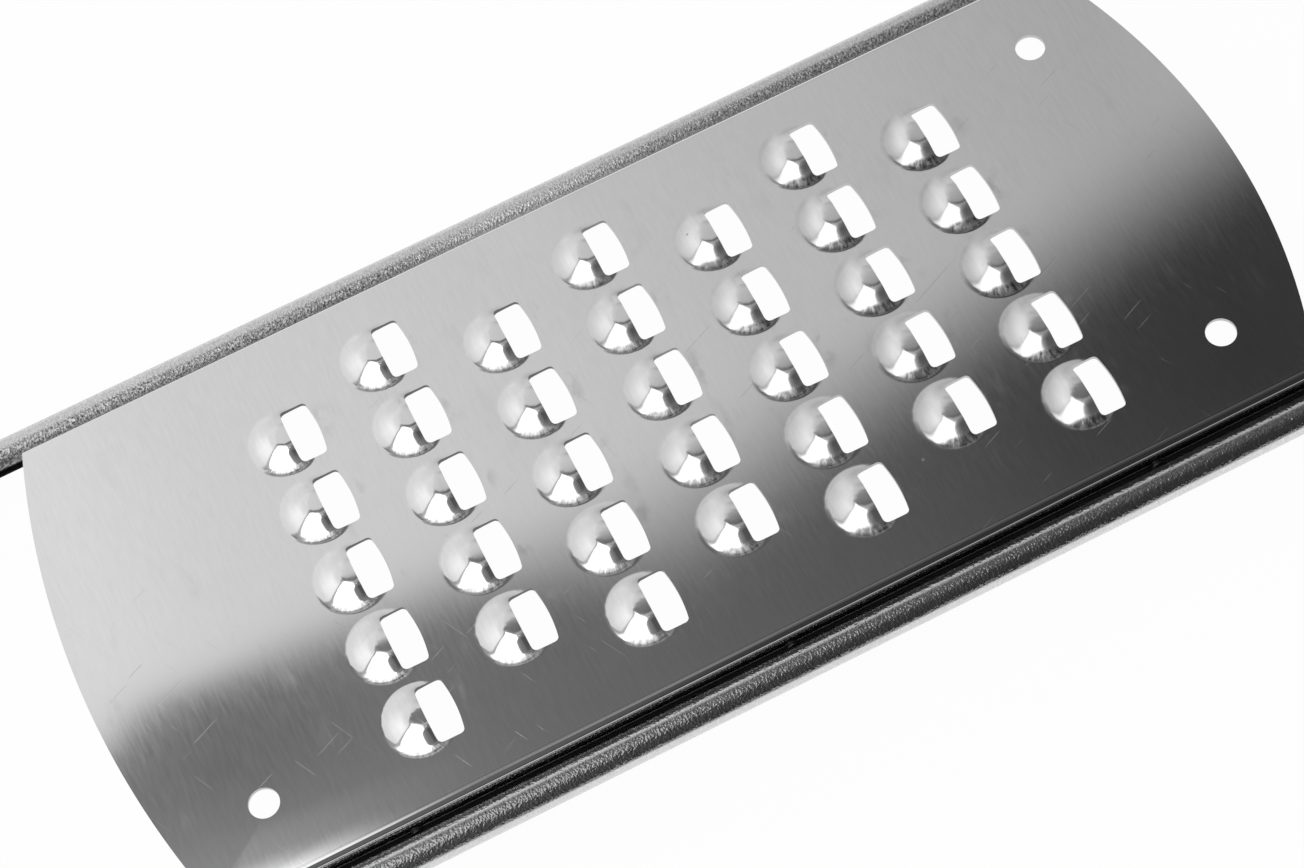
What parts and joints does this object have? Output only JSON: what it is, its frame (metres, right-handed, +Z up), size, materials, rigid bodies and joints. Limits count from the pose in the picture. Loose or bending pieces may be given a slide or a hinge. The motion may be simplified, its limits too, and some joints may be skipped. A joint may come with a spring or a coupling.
{
  "type": "rasp grater",
  "caption": "Flat hand grater with a stainless sheet blade of staggered half-dome teeth, held in a bent rod frame with rubber feet and a hollow steel handle.",
  "frame": {"origin": "under the middle of the part, on the surface it rests on with its teeth up", "axes": "+X from the handle to the tip, +Y to the tool's left, +Z up out of the toothed face"},
  "size_m": [0.3254, 0.0706, 0.016],
  "materials": {
    "blade_steel": "bright rolled",
    "rod_steel": "tumbled",
    "weld_steel": "as welded",
    "foot_rubber": "matt",
    "bolster_steel": "satin",
    "handle_steel": "satin",
    "inner_steel": "plain",
    "tube_steel": "polished"
  },
  "bodies": {
    "root": {"blade": "blade_steel", "frame_rod": "rod_steel", "left_weld_nuggets": "weld_steel", "right_weld_nuggets": "weld_steel", "left_foot": "foot_rubber", "right_foot": "foot_rubber", "handle_bolster": "bolster_steel", "handle_top_shell": "handle_steel", "handle_bottom_shell": "handle_steel", "tang_bridge": "inner_steel", "hang_tube": "tube_steel"}
  },
  "joints": []
}
